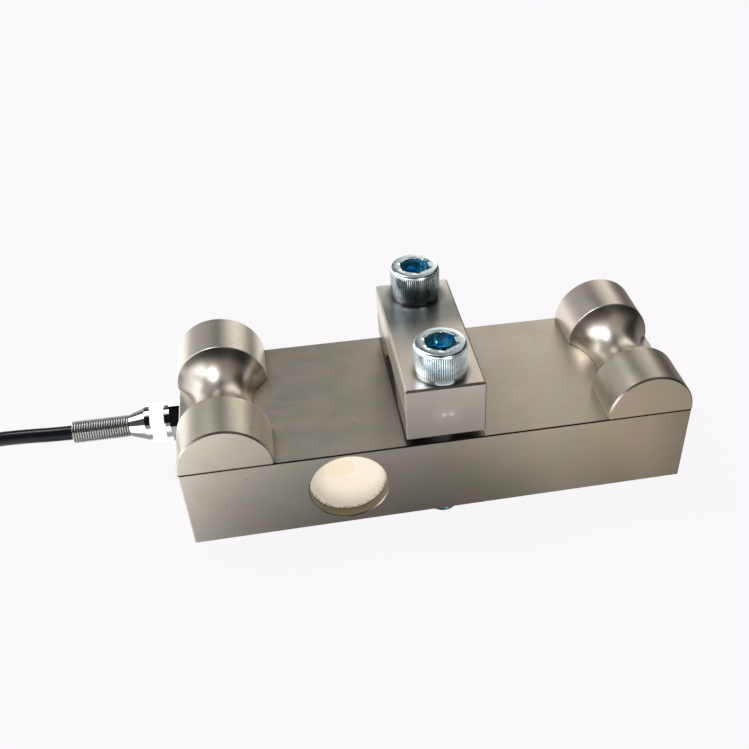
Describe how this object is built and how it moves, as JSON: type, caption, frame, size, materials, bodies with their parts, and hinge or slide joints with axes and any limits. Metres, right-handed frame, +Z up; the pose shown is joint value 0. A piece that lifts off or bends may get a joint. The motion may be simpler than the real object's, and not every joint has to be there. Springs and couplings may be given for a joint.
{
  "type": "wire rope load cell",
  "caption": "Clamp-on wire rope load cell: a steel beam with grooved half-round saddles, a screwed clamp bar, a potted gauge pocket and a glanded cable.",
  "frame": {"origin": "centre of the footprint of the beam, its saddles, clamp bar and screws, on the plane of the clamp screws' tips", "axes": "+X along the rope, away from the cable; +Z up, from the beam's underside to the screws' heads; +Y towards the rear face, away from the gauge pocket in the front"},
  "size_m": [0.3772, 0.0946, 0.072],
  "materials": {
    "satin_nickel": "satin nickel plate over brushed steel",
    "blue_zinc": "blue-white zinc plate",
    "bright_chrome": "mirror bright",
    "spring_steel": "bright spring wire",
    "potting": "cast compound, satin",
    "gauge_film": "amber film with a foil grid",
    "terminal_board": "glass laminate with tinned pads",
    "bridge_wire": "enamelled wire",
    "core_red": "core insulation",
    "core_black": "core insulation",
    "core_green": "core insulation",
    "core_white": "core insulation",
    "black_rubber": "matt",
    "black_jacket": "smooth glossy jacket",
    "tie_nylon": "moulded nylon"
  },
  "bodies": {
    "root": {"body": "satin_nickel", "left_saddle": "satin_nickel", "right_saddle": "satin_nickel", "clamp_bar": "satin_nickel", "clamp_screw_front": "blue_zinc", "clamp_screw_rear": "blue_zinc", "saddle_screw_1": "blue_zinc", "saddle_screw_2": "blue_zinc", "saddle_screw_3": "blue_zinc", "saddle_screw_4": "blue_zinc", "front_potting": "potting", "rear_potting": "potting", "front_gauge": "gauge_film", "rear_gauge": "gauge_film", "front_terminals": "terminal_board", "rear_terminals": "terminal_board", "bridge_wires": "bridge_wire", "core_red": "core_red", "core_black": "core_black", "core_green": "core_green", "core_white": "core_white", "gland_gasket": "black_rubber", "gland_body": "bright_chrome", "cable_seal": "black_rubber", "compression_nut": "bright_chrome", "strain_relief_spring": "spring_steel", "cable_inner": "black_jacket", "cable": "black_jacket", "cable_coil": "black_jacket", "cable_tie": "tie_nylon", "end_sleeve": "black_rubber", "end_red": "core_red", "end_black": "core_black", "end_green": "core_green", "end_white": "core_white"}
  },
  "joints": []
}
